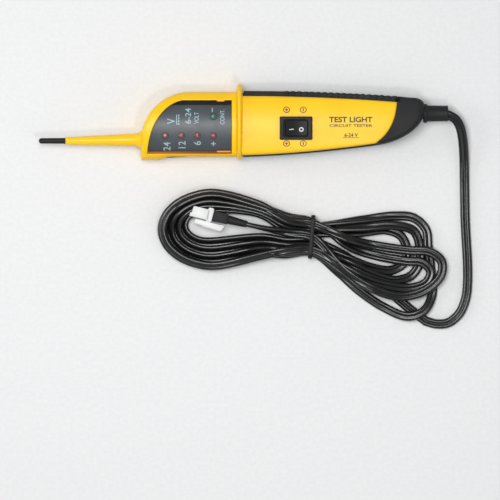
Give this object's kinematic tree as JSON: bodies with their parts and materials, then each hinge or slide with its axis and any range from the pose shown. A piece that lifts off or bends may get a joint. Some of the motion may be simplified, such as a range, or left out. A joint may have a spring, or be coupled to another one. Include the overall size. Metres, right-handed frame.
{
  "type": "circuit test light",
  "caption": "Hand-held automotive circuit test light with needle probe, lamp display under a smoked window, rocker switch and a hanked lead with a two-way connector.",
  "frame": {"origin": "centre of the tester's box on its resting plane, under the middle of the body", "axes": "+X from the probe tip to the cable boot, +Y across the body towards its straight side, +Z out of the display"},
  "size_m": [0.2811, 0.1589, 0.031],
  "materials": {
    "yellow_plastic": "satin",
    "black_grip": "matte",
    "black_plastic": "satin",
    "smoked_window": "gloss",
    "display_mask": "matte",
    "red_lens": "gloss",
    "green_lens": "gloss",
    "circuit_board": "satin",
    "chip_black": "matte",
    "resistor_tan": "satin",
    "steel": "brushed",
    "brass": "satin",
    "cord_pvc": "gloss",
    "wire_red": "satin",
    "white_nylon": "satin"
  },
  "bodies": {
    "tester": {"upper_housing": "yellow_plastic", "lower_housing": "yellow_plastic", "handle_shell": "black_grip", "display_window": "smoked_window", "display_mask": "display_mask", "circuit_board": "circuit_board", "led_24_volt": "red_lens", "led_12_volt": "red_lens", "led_6_volt": "red_lens", "led_positive": "red_lens", "led_negative": "green_lens", "comparator_chip": "chip_black", "resistor_1": "resistor_tan", "resistor_2": "resistor_tan", "resistor_3": "resistor_tan", "needle": "steel", "needle_socket": "brass", "switch_case": "black_plastic", "switch_terminal_plus": "brass", "switch_terminal_common": "brass", "switch_terminal_minus": "brass", "needle_wire": "cord_pvc", "board_wire": "cord_pvc", "plus_wire": "wire_red", "minus_wire": "cord_pvc", "case_screw_guard_top": "steel", "case_screw_guard_bottom": "steel", "case_screw_handle_mid": "steel", "case_screw_handle_rear": "steel", "cable_boot": "black_grip", "cord_lead": "cord_pvc", "cord_hank": "cord_pvc", "cord_tie": "black_plastic", "connector_housing": "white_nylon", "connector_contact_1": "brass", "connector_contact_2": "brass", "connector_overmould": "black_plastic", "connector_relief": "black_plastic"},
    "rocker": {"rocker": "black_plastic", "rocker_plunger": "brass", "plunger_spring": "steel"},
    "contact_blade": {"contact_blade": "brass"},
    "tip_cap": {"tip_cap": "black_plastic"},
    "connector_latch": {"connector_latch": "white_nylon"}
  },
  "joints": [
    {"name": "rocker_tilt", "type": "hinge", "parent": "tester", "child": "rocker", "pos_m": [0.0339, -0.0045, 0.0262], "axis": [0, 1, 0], "range_deg": [-20, 0]},
    {"name": "contact_tilt", "type": "hinge", "parent": "tester", "child": "contact_blade", "pos_m": [0.0339, -0.0045, 0.0152], "axis": [0, 1, 0], "range_deg": [0, 16]},
    {"name": "tip_cap_slide", "type": "slide", "parent": "tester", "child": "tip_cap", "axis": [-1, 0, 0], "range_m": [0, 0.017]},
    {"name": "latch_flex", "type": "hinge", "parent": "tester", "child": "connector_latch", "pos_m": [-0.02271, -0.06476, 0.0108], "axis": [0, 0, 1], "range_deg": [0, 5], "stiffness_Nm_per_rad": 0.05}
  ],
  "couplings": [
    {"joint": "contact_tilt", "follows": "rocker_tilt", "ratio": -0.8}
  ]
}
